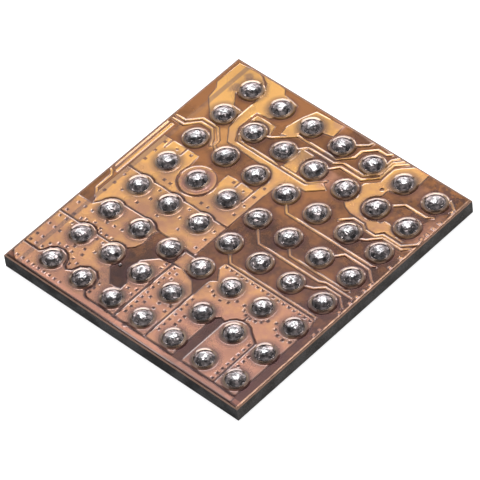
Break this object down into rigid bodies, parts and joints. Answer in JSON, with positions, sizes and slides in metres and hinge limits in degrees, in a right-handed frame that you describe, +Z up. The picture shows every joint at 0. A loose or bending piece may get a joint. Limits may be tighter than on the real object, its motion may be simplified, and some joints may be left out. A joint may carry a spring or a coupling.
{
  "type": "bga chip",
  "caption": "Wafer-level ball grid chip lying on its back: bare silicon die, copper redistribution layer under an amber polymer cover, and a grid of domed solder balls.",
  "frame": {"origin": "middle of the flat back face of the die", "axes": "+X along the columns of balls, from ball 1 to ball 7 of a row; +Y towards row a; +Z up, from the back face towards the balls"},
  "size_m": [0.003, 0.0032, 0.0002],
  "materials": {
    "silicon": "sawn",
    "copper": "plated",
    "nickel": "plated",
    "polymer": "clear amber film",
    "solder": "reflowed solder"
  },
  "bodies": {
    "root": {"silicon_die": "silicon", "redistribution_copper": "copper", "under_bump_pads": "nickel", "polymer_cover": "polymer", "ball_a1": "solder", "ball_a2": "solder", "ball_a3": "solder", "ball_a4": "solder", "ball_a5": "solder", "ball_a6": "solder", "ball_a7": "solder", "ball_b1": "solder", "ball_b2": "solder", "ball_b3": "solder", "ball_b4": "solder", "ball_b5": "solder", "ball_b6": "solder", "ball_b7": "solder", "ball_c1": "solder", "ball_c2": "solder", "ball_c3": "solder", "ball_c4": "solder", "ball_c5": "solder", "ball_c6": "solder", "ball_c7": "solder", "ball_d1": "solder", "ball_d2": "solder", "ball_d3": "solder", "ball_d4": "solder", "ball_d5": "solder", "ball_d6": "solder", "ball_d7": "solder", "ball_e1": "solder", "ball_e2": "solder", "ball_e3": "solder", "ball_e4": "solder", "ball_e5": "solder", "ball_e6": "solder", "ball_e7": "solder", "ball_f1": "solder", "ball_f2": "solder", "ball_f3": "solder", "ball_f4": "solder", "ball_f5": "solder", "ball_f6": "solder", "ball_f7": "solder", "ball_g1": "solder", "ball_g2": "solder", "ball_g3": "solder", "ball_g4": "solder", "ball_g5": "solder", "ball_g6": "solder", "ball_g7": "solder", "ball_h1": "solder", "ball_h2": "solder", "ball_h3": "solder", "ball_h4": "solder", "ball_h5": "solder", "ball_h6": "solder", "ball_h7": "solder"}
  },
  "joints": []
}
